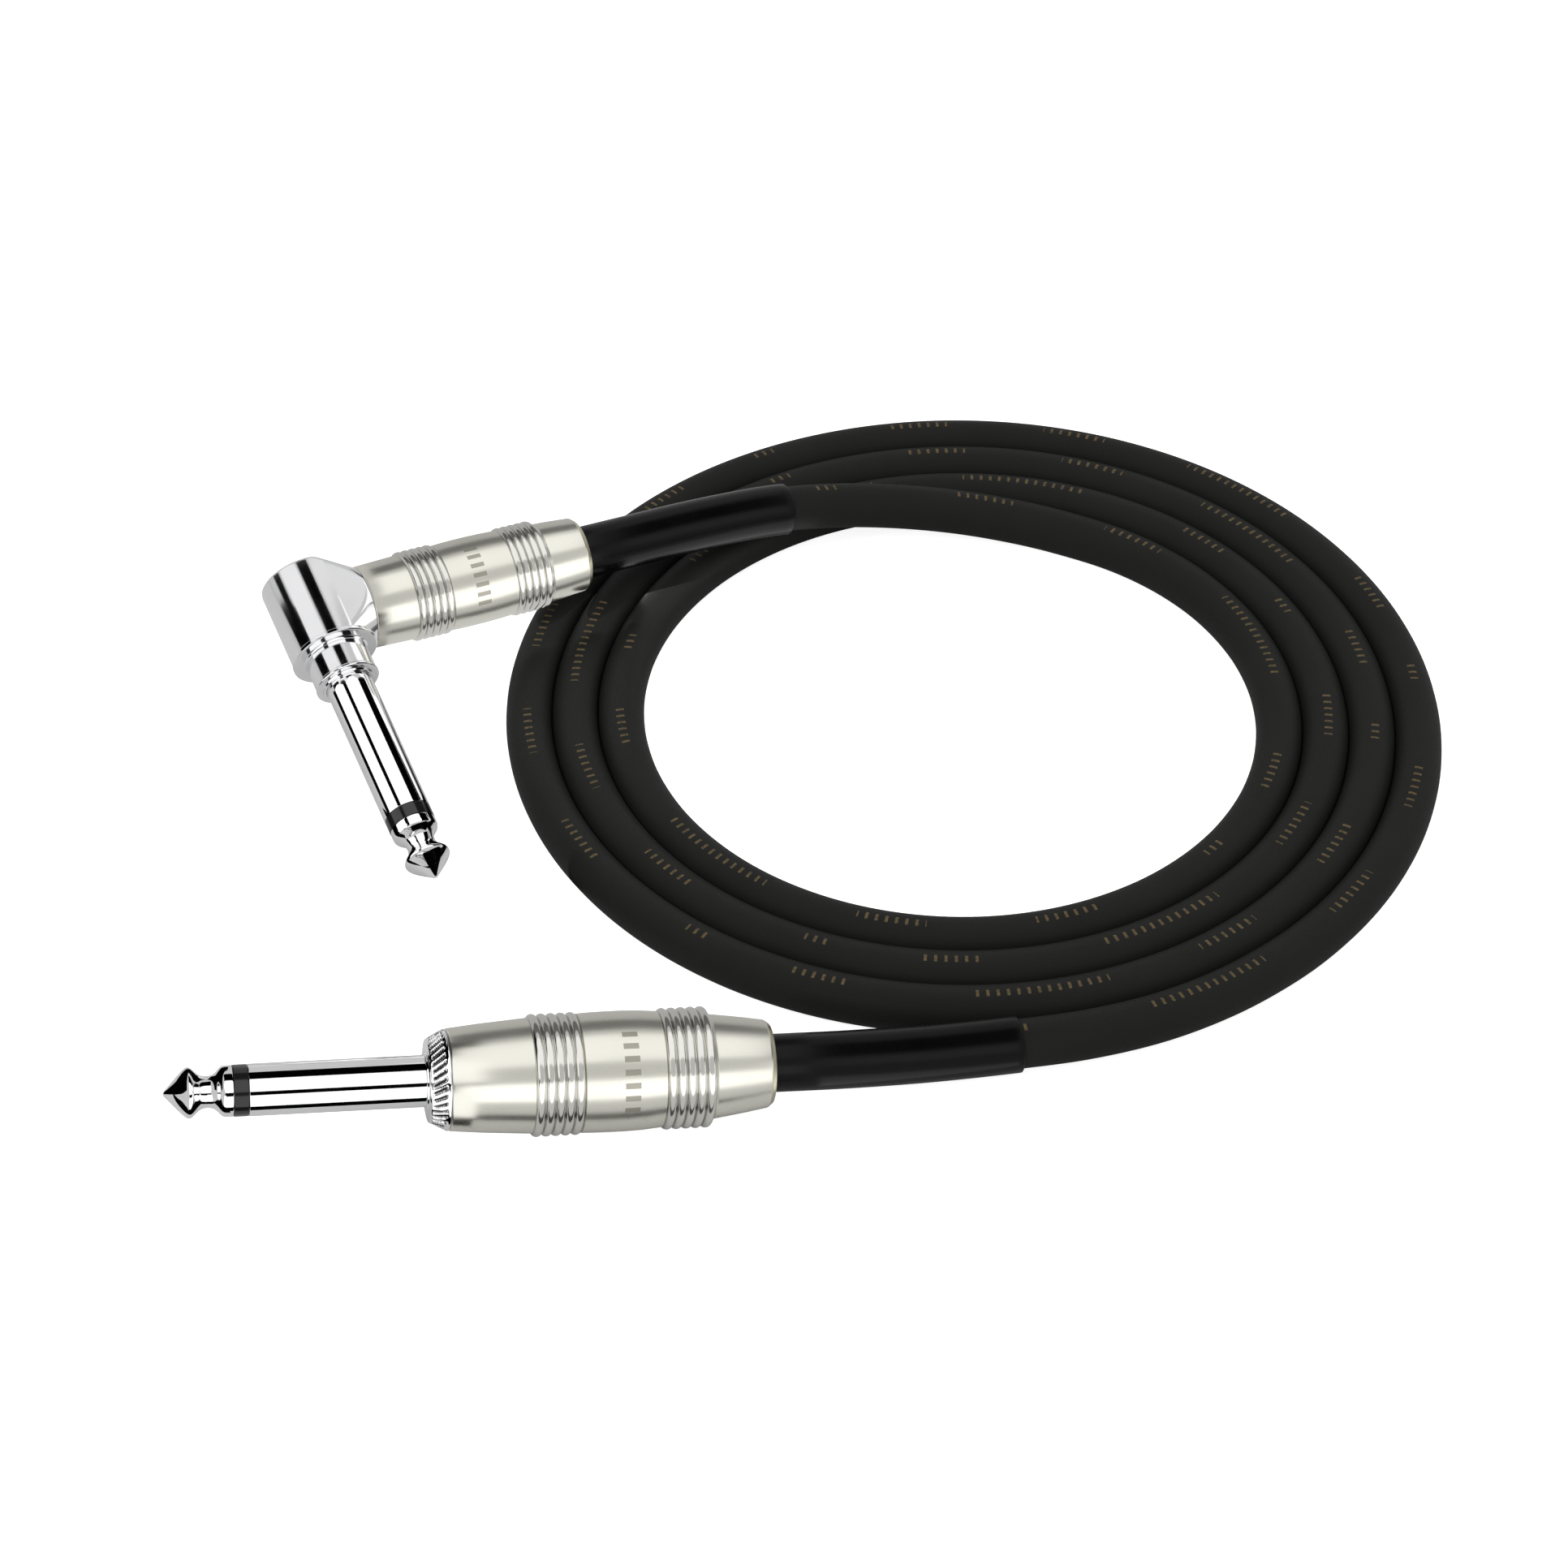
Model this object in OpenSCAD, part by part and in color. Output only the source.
// Instrument cable: a straight and a right-angle quarter-inch plug on one coiled cable.
// Millimetres, +Z up. The cable lies on the plane z = 0, and the straight plug points to -X.
// The origin is on that plane, under the middle of the box around the two plugs.

/* [Cable] */
// Outside diameter of the cable's jacket
cable_d = 6.2; // [6:0.05:6.25]
// Centre line radius of the outermost turn, on the coil's +X side
coil_r = 61.2; // [61:0.1:62]
// Rows of cable side by side on the coil's +X side
coil_rows = 4; // [4:1:5]

/* [Plug finger] */
// Diameter of the contact sleeve, the part a jack grips
finger_d = 6.35; // [6.3:0.01:6.35]
// Length from the seat face to the point of the tip
finger_l = 31.8; // [31:0.1:32]

/* [Straight plug] */
// Largest diameter of the collar in front of the shell
collar_d = 12.4; // [12:0.1:12.8]
// Length of the shell
shell_l = 40; // [39:0.5:41]
// How far the finger tips up from level
straight_tilt = 6; // [5.5:0.1:6]

/* [Right-angle plug] */
// Diameter of the elbow
elbow_d = 11.7; // [11.5:0.1:12]
// Height of the elbow along the finger
elbow_h = 12.6; // [12:0.1:13]
// Length of its shell
angle_shell_l = 32; // [31.5:0.5:32.5]

/* [Shell thread] */
// Distance that the shell moves in one turn
thread_pitch = 0.75; // [0.5:0.05:1]
// Full thread length on either plug's body
thread_l = 6; // [5.5:0.1:6]

/* [Strain relief] */
// Length of sleeve that shows behind a shell
relief_l = 31.5; // [30:0.5:32]
// Wall thickness of the sleeve
relief_wall = 0.4; // [0.3:0.05:0.4]

/* [Hidden] */
$fn = 96;
eps = 0.01;
cable_r = cable_d / 2;
finger_r = finger_d / 2;

// Finger, measured from the seat face towards the tip.
hub_r = 3.55;
hub_h = 0.35;
finger_bore_r = 2.2;
rod_r = 1.1;
rod_fit = 0.03;
insulator_l = 1.8;
insulator_r = finger_r - 0.025;
spigot_l = 2;
tip_l = 8.35;
tip_point_r = 0.3;
tip_cone_l = 2.95;
tip_cone_r = finger_r - 0.055;
waist_r = 2.03;
shoulder_r = finger_r - 0.075;
sleeve_end = finger_l - tip_l - insulator_l;
sleeve_root = 4;
sleeve_root_r = 2.98;
draft = 0.02;

// Straight plug's collar and threaded body.
face_r = 5.1;
bevel_l = 2;
rim_l = 0.35;
body_l = bevel_l + rim_l + thread_l;
thread_r = 4.6;
thread_depth = 0.3;
thread_gap = 0.05;
knurls = 36;
knurl_w = 0.35;
knurl_lean = 28;

// Elbow body of the right-angle plug.
elbow_r = elbow_d / 2;
elbow_rim = 0.12;
neck_r = 4.3;
neck_l = 4.7;
angle_face_x = 6.2;
angle_face_r = 5.6;
angle_flat_y = 5.5;
angle_thread_r = 4.3;
angle_body_x = angle_face_x + rim_l + thread_l;
angle_seat_z = elbow_h / 2 + neck_l;
cap_r = 3.4;
cap_h = 1.1;
rivet_pocket_z = -2;
angle_rod_tube_from = finger_bore_r + 0.1 - angle_seat_z;

// Shells, measured from the mouth towards the cable.
mouth_gap = 0.05;
bead_pitch = 1.2;
bead_r = 0.52;
bead_count = 5;
angle_bead_pitch = 1.02;
angle_bead_r = 0.44;
cavity_r = 5.4;
angle_cavity_r = 4.62;
relief_r = cable_r + 0.1 + relief_wall;
relief_gap = 0.15;
cable_hole_l = 7;
angle_cable_hole_l = 5.4;
rear_bevel = 0.6;

// Cable end inside a plug, measured from the back of the threaded body.
ring_h = 0.6;
ring_r = 3.9;
washer_h = 1.2;
lug_h = 0.6;
lug_r = 2.6;
rivet_h = 0.6;
rivet_r = 1.6;
tab_w = 2.4;
tab_t = 0.5;
tab_y = -2.3;
tab_end = 8.5;
arm_y = 3.3;
arm_t = 0.45;
arm_w = 2.4;
wing_from = 15;
wing_to = 20;
wing_angle = 270;
jacket_from = 14;
core_from = 9;
core_r = 1.3;
wire_from = 5.2;
wire_r = 0.45;
pigtail_from = 10.5;
pigtail_r = 0.6;
liner_from = 2.2;
liner_wall = 0.4;
liner_gap = 0.15;
liner_end_gap = 0.2;
liner_l = bevel_l + rim_l + mouth_gap + shell_l - cable_hole_l
    - body_l - liner_from - liner_end_gap;
angle_liner_l = angle_face_x + mouth_gap + angle_shell_l - angle_cable_hole_l
    - angle_body_x - liner_from - liner_end_gap;

// Where things lie.
coil_pos = [73.5, 18.1];
straight_pos = [-6, -45.9];
rear_row = 26.1;
rear_row_r = 7.45;
last_bead = bevel_l + rim_l + mouth_gap + rear_row + (bead_count - 0.5) * bead_pitch;
straight_z = rear_row_r * cos(straight_tilt) + last_bead * sin(straight_tilt);
angle_pos = [-10.5, 38.6];
angle_turn = 16;
angle_dip = 3.5;
angle_roll = 17.6;
reach = angle_seat_z + finger_l - tip_cone_l;
angle_z = (reach * sin(angle_roll) + tip_cone_r * cos(angle_roll)) * cos(angle_dip);

// Straight run of each strain relief behind the seat or elbow, then its bend.
straight_relief_from = body_l + 29;
straight_relief_turn = 52;
relief_bend_r = 200;
straight_shell_end = bevel_l + rim_l + mouth_gap + shell_l;
relief_bend = (relief_l + straight_shell_end - straight_relief_turn) / relief_bend_r * 180 / PI;
angle_relief_from = 34;
angle_relief_turn = 45.5;
angle_relief_bend_r = 264;
angle_shell_end = angle_face_x + mouth_gap + angle_shell_l;
angle_relief_bend = (relief_l + angle_shell_end - angle_relief_turn) / angle_relief_bend_r
    * 180 / PI;

// Centre line of each un-coiled stretch, from the coil's centre.
straight_route = [
    [-57.3, -64, 8.6], [-49.7, -64, 7.8], [-38.7, -64, 6.7], [-27.8, -64, 5.5],
    [-17.3, -64, 4.7], [-6.9, -64, 4.4], [3, -63.6, 4.1], [13, -61.8, 3.7],
    [22.5, -58.4, 3.3], [31.5, -54, 3.1], [40, -47.7, 3.1]
];
angle_route = [
    [-58.5, 27.8, 13.4], [-49.5, 30.4, 12.8], [-40.3, 33, 12.2], [-29.3, 36.2, 11.3],
    [-18.3, 39.3, 9.8], [-9, 41, 8], [0, 41.4, 6.2], [9, 40.4, 4.6],
    [18, 37.4, 3.5], [25, 34, 3.1]
];
cord_sides = 12;

// Puts its children in the straight plug: +Z to the tip, +X up.
module at_straight() {
    translate([straight_pos.x, straight_pos.y, straight_z])
        rotate([0, straight_tilt - 90, 0])
            children();
}

// Puts its children in the right-angle plug: +Z to the tip, +X to the cable.
module at_angle() {
    translate([angle_pos.x, angle_pos.y, angle_z])
        rotate([90 + angle_roll, angle_dip, angle_turn])
            children();
}

// Puts its children on the right-angle plug's seat face, +Z to the tip.
module at_angle_seat() {
    at_angle()
        translate([0, 0, angle_seat_z])
            children();
}

// Puts its children behind the straight plug's body, +Z to the cable.
module straight_back() {
    at_straight()
        translate([0, 0, -body_l])
            rotate([180, 0, 90])
                children();
}

// Puts its children behind the right-angle plug's body, +Z to the cable.
module angle_back() {
    at_angle()
        translate([angle_body_x, 0, 0])
            rotate([0, 90, 0])
                children();
}

// A round bar between two points.
module bar(from, to, radius) {
    span = to - from;
    length = norm(span);
    translate(from)
        rotate([0, acos(span.z / length), atan2(span.y, span.x)])
            cylinder(r = radius, h = length);
}

module tube(radius, bore, length) {
    difference() {
        cylinder(r = radius, h = length);
        translate([0, 0, -eps])
            cylinder(r = bore, h = length + 2 * eps);
    }
}

// ---- The finger, shared by both plugs: seat face at z = 0 ----

module tip_contact(rod_from) {
    base = finger_l - tip_l;
    cone_z = finger_l - tip_cone_l;
    color("silver")
        rotate_extrude()
            polygon([
                [0, rod_from], [rod_r, rod_from], [rod_r, base], [shoulder_r - 0.2, base],
                [shoulder_r, base + 0.2], [shoulder_r - draft, base + 1.2],
                [shoulder_r - 0.4, base + 1.6],
                [waist_r + 0.1, base + 2.5], [waist_r, base + 3.2], [waist_r + 0.15, base + 3.9],
                [tip_cone_r - 0.15, cone_z - 0.35], [tip_cone_r, cone_z],
                [tip_point_r, finger_l - 0.15], [0, finger_l]
            ]);
}

module tip_insulator() {
    color("black")
        translate([0, 0, sleeve_end])
            difference() {
                union() {
                    cylinder(r1 = insulator_r, r2 = insulator_r - draft, h = insulator_l);
                    translate([0, 0, -spigot_l])
                        cylinder(r = finger_bore_r, h = spigot_l + eps);
                }
                translate([0, 0, -spigot_l - eps])
                    cylinder(r = rod_r + rod_fit, h = spigot_l + insulator_l + 2 * eps);
            }
}

// The sleeve stands on the hub's face, on a thinner root that is pressed into the body.
module contact_sleeve() {
    color("silver")
        difference() {
            union() {
                translate([0, 0, hub_h])
                    cylinder(r = finger_r, h = sleeve_end - hub_h);
                translate([0, 0, -sleeve_root])
                    cylinder(r = sleeve_root_r, h = sleeve_root + hub_h + eps);
            }
            translate([0, 0, -sleeve_root - eps])
                cylinder(r = finger_bore_r, h = sleeve_root + sleeve_end + 2 * eps);
        }
}

module rod_tube(from) {
    color("white")
        translate([0, 0, from])
            tube(finger_bore_r, rod_r + rod_fit, sleeve_end - spigot_l - from);
}

// ---- Bodies that the shells screw on to ----

// Ring-groove thread on a bar that starts at z = 0.
module thread(radius, length) {
    crests = floor(length / thread_pitch) - 1;
    rotate_extrude()
        polygon(concat(
            [[0, 0], [radius - thread_depth, 0]],
            [for (i = [0 : crests - 1], k = [0, 1])
                [radius - thread_depth * (1 - k), (i + 0.5 + k / 2) * thread_pitch]],
            [[radius - thread_depth, (crests + 0.5) * thread_pitch],
             [radius - thread_depth, length], [0, length]]
        ));
}

// Leaning cuts around the collar's bevel.
module knurl() {
    for (i = [0 : knurls - 1])
        rotate([0, 0, i * 360 / knurls])
            translate([(face_r + collar_d / 2) / 2 + 0.25, 0, -bevel_l / 2 - 0.1])
                rotate([0, -atan((collar_d / 2 - face_r) / bevel_l), 0])
                    rotate([knurl_lean, 0, 0])
                        cube([0.5, knurl_w, bevel_l * 0.8], center = true);
}

module threaded_body() {
    color("gainsboro")
        difference() {
            union() {
                cylinder(r = hub_r, h = hub_h);
                translate([0, 0, -bevel_l])
                    cylinder(r1 = collar_d / 2, r2 = face_r, h = bevel_l);
                translate([0, 0, -bevel_l - rim_l])
                    cylinder(d = collar_d, h = rim_l);
                translate([0, 0, -body_l])
                    thread(thread_r, thread_l + eps);
            }
            translate([0, 0, -sleeve_root])
                cylinder(r = sleeve_root_r, h = sleeve_root + 1);
            translate([0, 0, -body_l - eps])
                cylinder(r = finger_bore_r, h = body_l);
            knurl();
        }
}

module elbow_body() {
    half = elbow_h / 2;
    color("gainsboro")
        difference() {
            union() {
                translate([0, 0, -half])
                    cylinder(r = elbow_r, h = elbow_h);
                translate([0, 0, half - 0.5])
                    cylinder(r = elbow_r + elbow_rim, h = 0.5);
                intersection() {
                    translate([0, -angle_flat_y, -half])
                        cube([angle_face_x, 2 * angle_flat_y, elbow_h]);
                    rotate([0, 90, 0])
                        cylinder(r1 = angle_face_r + 3.4, r2 = angle_face_r, h = angle_face_x);
                }
                cylinder(r = neck_r, h = angle_seat_z);
                translate([0, 0, angle_seat_z - 0.5])
                    cylinder(r = neck_r + elbow_rim, h = 0.5);
                cylinder(r = hub_r, h = angle_seat_z + hub_h);
                translate([angle_face_x - eps, 0, 0])
                    rotate([0, 90, 0])
                        cylinder(r = angle_thread_r - thread_depth, h = rim_l + 2 * eps);
                translate([angle_face_x + rim_l, 0, 0])
                    rotate([0, 90, 0])
                        thread(angle_thread_r, thread_l);
            }
            translate([0, 0, angle_seat_z - sleeve_root])
                cylinder(r = sleeve_root_r, h = sleeve_root + 1);
            translate([0, 0, rivet_pocket_z])
                cylinder(r = finger_bore_r, h = angle_seat_z);
            rotate([0, 90, 0])
                cylinder(r = finger_bore_r, h = angle_body_x + 1);
            translate([0, 0, -half - eps])
                cylinder(r = cap_r, h = cap_h + eps);
        }
}

// Press-in disc that closes the elbow over the riveted rod.
module elbow_cap() {
    color("gainsboro")
        translate([0, 0, -elbow_h / 2])
            cylinder(r = cap_r, h = cap_h);
}

// Carries the tip's signal from the finger's rod along the barrel.
module link_rod() {
    color("goldenrod")
        translate([rod_r - 0.2, 0, 0])
            rotate([0, 90, 0])
                union() {
                    cylinder(r = rod_r, h = angle_body_x + ring_h + washer_h + lug_h - rod_r + 0.2);
                    translate([0, 0, angle_body_x + ring_h + washer_h + lug_h - rod_r + 0.2])
                        cylinder(r = rivet_r, h = rivet_h);
                }
}

module link_tube() {
    color("white")
        translate([finger_bore_r, 0, 0])
            rotate([0, 90, 0])
                tube(finger_bore_r, rod_r + rod_fit, angle_body_x + ring_h - finger_bore_r);
}

// ---- Cable end inside a plug: body's back face at z = 0, cable towards +Z ----

module rivet_head() {
    translate([0, 0, ring_h + washer_h + lug_h])
        cylinder(r = rivet_r, h = rivet_h);
}

module ground_clamp() {
    color("lightgray")
        difference() {
            union() {
                cylinder(r = ring_r, h = ring_h);
                translate([-arm_w / 2, arm_y, 0])
                    cube([arm_w, arm_t, wing_to]);
                translate([0, 0, wing_from])
                    rotate([0, 0, 90 - wing_angle / 2])
                        rotate_extrude(angle = wing_angle)
                            translate([cable_r + 0.05, 0])
                                square([0.5, wing_to - wing_from]);
            }
            translate([0, 0, -eps])
                cylinder(r = finger_bore_r + rod_fit, h = ring_h + 2 * eps);
        }
}

module lug_washer() {
    color("saddlebrown")
        translate([0, 0, ring_h])
            difference() {
                tube(ring_r, rod_r + rod_fit, washer_h);
                translate([-ring_r, arm_y - 0.1, -eps])
                    cube([2 * ring_r, ring_r, washer_h + 2 * eps]);
            }
}

module tip_lug() {
    color("goldenrod")
        translate([0, 0, ring_h + washer_h]) {
            tube(lug_r, rod_r + rod_fit, lug_h);
            translate([-tab_w / 2, tab_y, 0])
                cube([tab_w, tab_t, tab_end - ring_h - washer_h]);
        }
}

wire_y = tab_y + tab_t + wire_r;

module core_wire() {
    color("chocolate")
        bar([0, wire_y, wire_from], [0, wire_y, core_from], wire_r);
}

module core_insulation() {
    color("ivory")
        bar([0, wire_y, core_from], [0, -0.4, jacket_from], core_r);
}

module shield_pigtail() {
    color("peru")
        bar([0, 1.6, jacket_from], [0, arm_y - pigtail_r + 0.05, pigtail_from], pigtail_r);
}

module tip_solder() {
    color("gray")
        translate([0, wire_y, wire_from + 0.9])
            sphere(r = 0.95);
}

module ground_solder() {
    color("gray")
        translate([0, arm_y - 0.45, pigtail_from + 0.2])
            sphere(r = 0.9);
}

module liner(cavity, length) {
    color("white")
        translate([0, 0, liner_from])
            tube(cavity - liner_gap, cavity - liner_gap - liner_wall, length);
}

// ---- Shells: mouth at z = 0, cable towards +Z ----

// Half outline of a shell: beads stand out of the outer line, the bore is cut away.
module shell(outer, bead_rows, row_r, pitch, bead, thread_bore, body_end, cavity, hole_l) {
    length = outer[len(outer) - 1].y;
    hole = relief_r + relief_gap;
    color("lightgoldenrodyellow")
        rotate_extrude()
            difference() {
                union() {
                    polygon(concat([[0, 0]], outer, [[0, length]]));
                    for (row = [0 : 1], i = [0 : bead_count - 1])
                        translate([row_r[row] - bead, bead_rows[row] + (i + 0.5) * pitch])
                            circle(r = bead, $fn = 32);
                }
                translate([0, -1])
                    square([thread_bore, body_end + 1]);
                translate([0, body_end - eps])
                    square([cavity, length - hole_l - body_end + eps]);
                translate([0, -1])
                    square([hole, length + 2]);
            }
}

module straight_shell() {
    far = shell_l;
    outline = [
        [collar_d / 2 - 0.1, 0], [collar_d / 2 + 0.05, 0.15], [7.1, 10], [7.05, 16.1],
        [7.3, 16.2], [7.4, 20.5], [7.15, 26], [6.95, 26.1], [6.9, 32.1], [6.45, 32.3],
        [5.42, far - rear_bevel], [5.42 - 0.8 * rear_bevel, far]
    ];
    at_straight()
        translate([0, 0, -bevel_l - rim_l - mouth_gap])
            rotate([180, 0, 0])
                shell(outline, [10, rear_row], [7.5, rear_row_r], bead_pitch, bead_r,
                    thread_r + thread_gap, thread_l + 0.3, cavity_r, cable_hole_l);
}

module angle_shell() {
    far = angle_shell_l;
    outline = [
        [5.5, 0], [5.65, 0.15], [5.85, 6], [5.8, 11.1], [5.95, 11.2], [6, 15.5],
        [5.9, 20.4], [5.8, 20.5], [5.75, 25.6], [5.5, 25.8],
        [5.1, far - rear_bevel], [5.1 - 0.8 * rear_bevel, far]
    ];
    at_angle()
        translate([angle_face_x + mouth_gap, 0, 0])
            rotate([0, 90, 0])
                shell(outline, [6, 20.5], [6.18, 6.1], angle_bead_pitch, angle_bead_r,
                    angle_thread_r + thread_gap, thread_l + rim_l + 0.3, angle_cavity_r,
                    angle_cable_hole_l);
}

// ---- Strain relief and cable ----

// A straight sleeve that carries on into a bend; +Z to the cable, bends towards +X.
module relief(straight_l, bend_r, bend) {
    color("black") {
        tube(relief_r, relief_r - relief_wall, straight_l);
        translate([bend_r, 0, straight_l])
            rotate([90, 0, 180])
                rotate_extrude(angle = bend, $fn = 360)
                    translate([bend_r, 0])
                        difference() {
                            circle(r = relief_r, $fn = 48);
                            circle(r = relief_r - relief_wall, $fn = 48);
                        }
    }
}

module straight_relief() {
    at_straight()
        translate([0, 0, -straight_relief_from])
            rotate([180, 0, 0])
                relief(straight_relief_turn - straight_relief_from, relief_bend_r, relief_bend);
}

module angle_relief() {
    at_angle()
        translate([angle_relief_from, 0, 0])
            rotate([0, 90, 0])
                rotate([0, 0, -90 - angle_roll])
                    relief(angle_relief_turn - angle_relief_from, angle_relief_bend_r,
                        angle_relief_bend);
}

// A round cord along a list of points, with a ring of corners at each.
module cord(route) {
    last = len(route) - 1;
    n = cord_sides;
    heading = [for (i = [0 : last]) route[min(i + 1, last)] - route[max(i - 1, 0)]];
    ring = [for (i = [0 : last])
        let (t = heading[i] / norm(heading[i]),
             side = cross(t, [0, 0, 1]) / norm(cross(t, [0, 0, 1])),
             top = cross(side, t))
        for (k = [0 : n - 1])
            route[i] + cable_r * (cos(k * 360 / n) * side + sin(k * 360 / n) * top)];
    walls = [for (i = [0 : last - 1], k = [0 : n - 1])
        let (a = i * n + k, b = i * n + (k + 1) % n)
        [a, b, b + n, a + n]];
    ends = [[for (k = [n - 1 : -1 : 0]) k], [for (k = [0 : n - 1]) last * n + k]];
    polyhedron(points = ring, faces = concat(walls, ends));
}

module straight_lead() {
    color("dimgray")
        translate([coil_pos.x, coil_pos.y, 0])
            cord(straight_route);
}

module angle_lead() {
    color("dimgray")
        translate([coil_pos.x, coil_pos.y, 0])
            cord(angle_route);
}

// The coil winds inwards, so its outside and its hole have different centres.
module coil() {
    outside_r = coil_r + cable_r - 0.375 * cable_d;
    hole_r = coil_r + cable_r - (coil_rows - 0.25) * cable_d;
    color("dimgray")
        translate([coil_pos.x, coil_pos.y, 0])
            difference() {
                translate([cable_d / 4, 0.3 * cable_d, 0])
                    rotate_extrude($fn = 180)
                        union() {
                            square([outside_r - cable_r, cable_d]);
                            translate([outside_r - cable_r, cable_r])
                                circle(r = cable_r, $fn = 48);
                        }
                translate([-cable_d / 4, 0, -eps])
                    rotate_extrude($fn = 180)
                        difference() {
                            square([hole_r + cable_r, cable_d + 2 * eps]);
                            translate([hole_r + cable_r, cable_r + eps])
                                circle(r = cable_r, $fn = 48);
                        }
            }
}

// The straight plug's tip contact ends in a rivet head behind the lug.
module straight_tip_contact() {
    at_straight()
        tip_contact(-body_l - ring_h - washer_h - lug_h);
    straight_back()
        color("silver")
            rivet_head();
}

straight_tip_contact();
at_straight() tip_insulator();  // straight_tip_insulator
at_straight() contact_sleeve();  // straight_contact_sleeve
at_straight() rod_tube(-body_l - ring_h);  // straight_rod_tube
at_straight() threaded_body();  // straight_threaded_body
straight_back() ground_clamp();  // straight_ground_clamp
straight_back() lug_washer();  // straight_lug_washer
straight_back() tip_lug();  // straight_tip_lug
straight_back() core_wire();  // straight_core_wire
straight_back() core_insulation();  // straight_core_insulation
straight_back() shield_pigtail();  // straight_shield_pigtail
straight_back() tip_solder();  // straight_tip_solder
straight_back() ground_solder();  // straight_ground_solder
straight_back() liner(cavity_r, liner_l);  // straight_liner
straight_shell();
straight_relief();  // straight_strain_relief
at_angle_seat() tip_contact(-angle_seat_z - rod_r);  // angle_tip_contact
at_angle_seat() tip_insulator();  // angle_tip_insulator
at_angle_seat() contact_sleeve();  // angle_contact_sleeve
at_angle_seat() rod_tube(angle_rod_tube_from);  // angle_rod_tube
at_angle() elbow_body();  // angle_elbow_body
at_angle() elbow_cap();  // angle_elbow_cap
at_angle() link_rod();  // angle_link_rod
at_angle() link_tube();  // angle_link_tube
angle_back() ground_clamp();  // angle_ground_clamp
angle_back() lug_washer();  // angle_lug_washer
angle_back() tip_lug();  // angle_tip_lug
angle_back() core_wire();  // angle_core_wire
angle_back() core_insulation();  // angle_core_insulation
angle_back() shield_pigtail();  // angle_shield_pigtail
angle_back() tip_solder();  // angle_tip_solder
angle_back() ground_solder();  // angle_ground_solder
angle_back() liner(angle_cavity_r, angle_liner_l);  // angle_liner
angle_shell();
angle_relief();  // angle_strain_relief
coil();  // cable_coil
straight_lead();  // cable_straight_lead
angle_lead();  // cable_angle_lead
